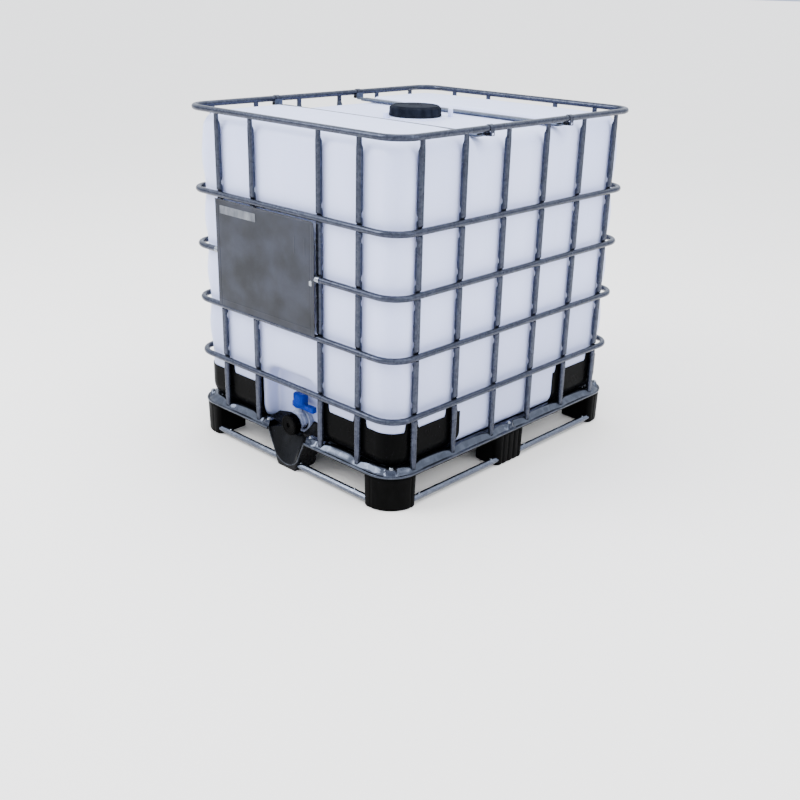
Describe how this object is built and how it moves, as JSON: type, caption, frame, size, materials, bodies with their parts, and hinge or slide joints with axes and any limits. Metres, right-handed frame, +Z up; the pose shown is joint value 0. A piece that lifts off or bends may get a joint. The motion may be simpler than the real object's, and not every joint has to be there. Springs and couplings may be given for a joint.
{
  "type": "intermediate bulk container",
  "caption": "Caged 1000 litre liquid container: white blow-moulded bottle in a galvanised tube cage on a steel pan and black plastic pallet, with screw lid and outlet valve.",
  "frame": {"origin": "centre of the footprint at floor level", "axes": "+Z up, -Y towards the outlet valve on the short side, +X to the right seen from the outlet side"},
  "size_m": [1, 1.2, 1.16],
  "materials": {
    "cage_steel": "hot-dip galvanised tube, satin",
    "pan_steel": "galvanised sheet, bright",
    "skid_steel": "galvanised tube",
    "plate_steel": "galvanised sheet, dull and scuffed",
    "clip_steel": "zinc plated spring steel",
    "bolt_steel": "black coated",
    "screw_steel": "zinc plated",
    "bottle_plastic": "natural polyethylene, translucent white",
    "lid_plastic": "black moulded",
    "cap_plastic": "black moulded",
    "guard_plastic": "black moulded, satin",
    "pallet_plastic": "black moulded, matt",
    "valve_plastic": "white moulded",
    "union_plastic": "white moulded",
    "lever_plastic": "blue moulded",
    "seal_rubber": "black rubber"
  },
  "bodies": {
    "container": {"bottle": "bottle_plastic", "bottle_ports": "bottle_plastic", "centre_foot": "pallet_plastic", "clamp_bolts": "bolt_steel", "corner_foot_front_left": "pallet_plastic", "corner_foot_front_right": "pallet_plastic", "corner_foot_rear_left": "pallet_plastic", "corner_foot_rear_right": "pallet_plastic", "corner_guard_front_left": "guard_plastic", "corner_guard_front_right": "guard_plastic", "corner_guard_rear_left": "guard_plastic", "corner_guard_rear_right": "guard_plastic", "crossbar_clamps": "cage_steel", "crossbar_front": "cage_steel", "crossbar_rear": "cage_steel", "end_foot_rear": "pallet_plastic", "outlet_foot": "pallet_plastic", "outlet_gasket": "seal_rubber", "pallet_deck": "pallet_plastic", "pan": "pan_steel", "pan_screws": "screw_steel", "plate": "plate_steel", "plate_clips": "clip_steel", "rail_bottom": "cage_steel", "rail_lower": "cage_steel", "rail_middle": "cage_steel", "rail_top": "cage_steel", "rail_upper": "cage_steel", "side_foot_left": "pallet_plastic", "side_foot_right": "pallet_plastic", "skid_ring": "skid_steel", "union_nut": "union_plastic", "upright_front_1": "cage_steel", "upright_front_2": "cage_steel", "upright_front_3": "cage_steel", "upright_front_4": "cage_steel", "upright_left_1": "cage_steel", "upright_left_2": "cage_steel", "upright_left_3": "cage_steel", "upright_left_4": "cage_steel", "upright_left_5": "cage_steel", "upright_left_6": "cage_steel", "upright_rear_1": "cage_steel", "upright_rear_2": "cage_steel", "upright_rear_3": "cage_steel", "upright_rear_4": "cage_steel", "upright_right_1": "cage_steel", "upright_right_2": "cage_steel", "upright_right_3": "cage_steel", "upright_right_4": "cage_steel", "upright_right_5": "cage_steel", "upright_right_6": "cage_steel", "valve_body": "valve_plastic"},
    "valve_handle": {"valve_disc": "valve_plastic", "valve_lever": "lever_plastic", "lever_screw": "screw_steel"},
    "lid_seal": {"lid_gasket": "seal_rubber"},
    "lid": {"lid": "lid_plastic"},
    "cap_seal": {"outlet_cap_gasket": "seal_rubber"},
    "cap": {"outlet_cap": "cap_plastic"}
  },
  "joints": [
    {"name": "valve_turn", "type": "hinge", "parent": "container", "child": "valve_handle", "pos_m": [0, -0.538, 0.2], "axis": [0, 0, -1], "range_deg": [0, 90]},
    {"name": "lid_rise", "type": "slide", "parent": "container", "child": "lid_seal", "axis": [0, 0, 1], "range_m": [0, 0.014]},
    {"name": "lid_turn", "type": "hinge", "parent": "lid_seal", "child": "lid", "pos_m": [0, 0, 1.14], "axis": [0, 0, 1], "range_deg": [0, 720]},
    {"name": "cap_draw", "type": "slide", "parent": "container", "child": "cap_seal", "axis": [0, -1, 0], "range_m": [0, 0.018]},
    {"name": "cap_turn", "type": "hinge", "parent": "cap_seal", "child": "cap", "pos_m": [0, -0.58, 0.153], "axis": [0, -1, 0], "range_deg": [0, 1080]}
  ],
  "couplings": [
    {"joint": "lid_rise", "follows": "lid_turn", "m_per_rad": 0.0011141},
    {"joint": "cap_draw", "follows": "cap_turn", "m_per_rad": 0.00095493}
  ]
}
